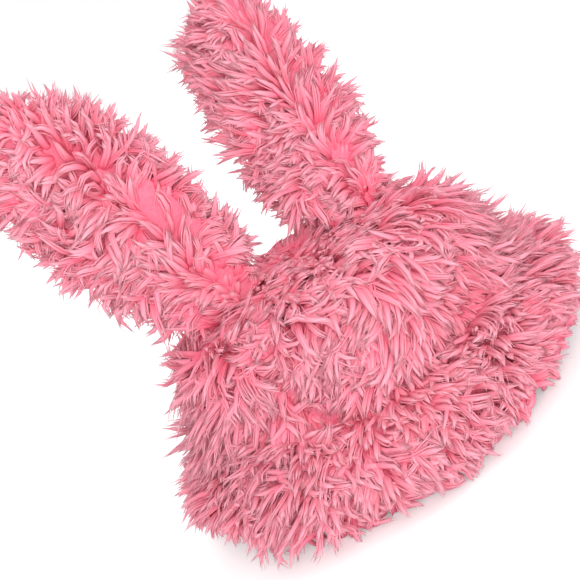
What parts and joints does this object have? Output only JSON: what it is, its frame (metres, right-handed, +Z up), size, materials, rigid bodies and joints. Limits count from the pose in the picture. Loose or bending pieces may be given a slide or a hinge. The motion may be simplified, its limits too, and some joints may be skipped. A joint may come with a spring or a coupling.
{
  "type": "bucket hat with animal ears",
  "caption": "Shaggy faux-fur bucket hat with a soft crown, a wide flared brim and two long rabbit ears that bend at their base seams.",
  "frame": {"origin": "on the surface the brim stands on, under the middle of the hat", "axes": "+Z up through the crown, -Y to the hat's front, +X to the wearer's left as the ears lie side by side"},
  "size_m": [0.337, 0.3008, 0.3568],
  "materials": {
    "fur": "long shaggy pile, pink, darker at the roots and pale at the tips",
    "lining": "plain woven polyester lining, soft sheen",
    "wadding": "white polyester wadding",
    "foam": "thin laminated foam interlining",
    "ribbon": "ribbed ribbon",
    "label": "blank satin-woven label",
    "felt": "pressed felt",
    "wire": "plastic-covered soft wire"
  },
  "bodies": {
    "hat": {"crown_tip_fur": "fur", "crown_band_front_fur": "fur", "crown_band_back_fur": "fur", "crown_tip_wadding": "wadding", "crown_band_wadding": "wadding", "crown_tip_lining": "lining", "crown_band_front_lining": "lining", "crown_band_back_lining": "lining", "sweatband": "ribbon", "care_label": "label", "brim_top_front_fur": "fur", "brim_top_back_fur": "fur", "brim_foam": "foam", "brim_under_front_facing": "lining", "brim_under_back_facing": "lining", "ear_left_anchor_patch": "felt", "ear_right_anchor_patch": "felt"},
    "ear_left": {"ear_left_front_fur": "fur", "ear_left_back_fur": "fur", "ear_left_wadding": "wadding", "ear_left_wire": "wire"},
    "ear_right": {"ear_right_front_fur": "fur", "ear_right_back_fur": "fur", "ear_right_wadding": "wadding", "ear_right_wire": "wire"}
  },
  "joints": [
    {"name": "ear_left_bend", "type": "hinge", "parent": "hat", "child": "ear_left", "pos_m": [-0.0565, 0.005, 0.13498], "axis": [0.9986, 0.0523, 0], "range_deg": [-52, 60]},
    {"name": "ear_right_bend", "type": "hinge", "parent": "hat", "child": "ear_right", "pos_m": [0.0565, 0.005, 0.13498], "axis": [0.9397, 0.342, 0], "range_deg": [-20, 92]}
  ]
}
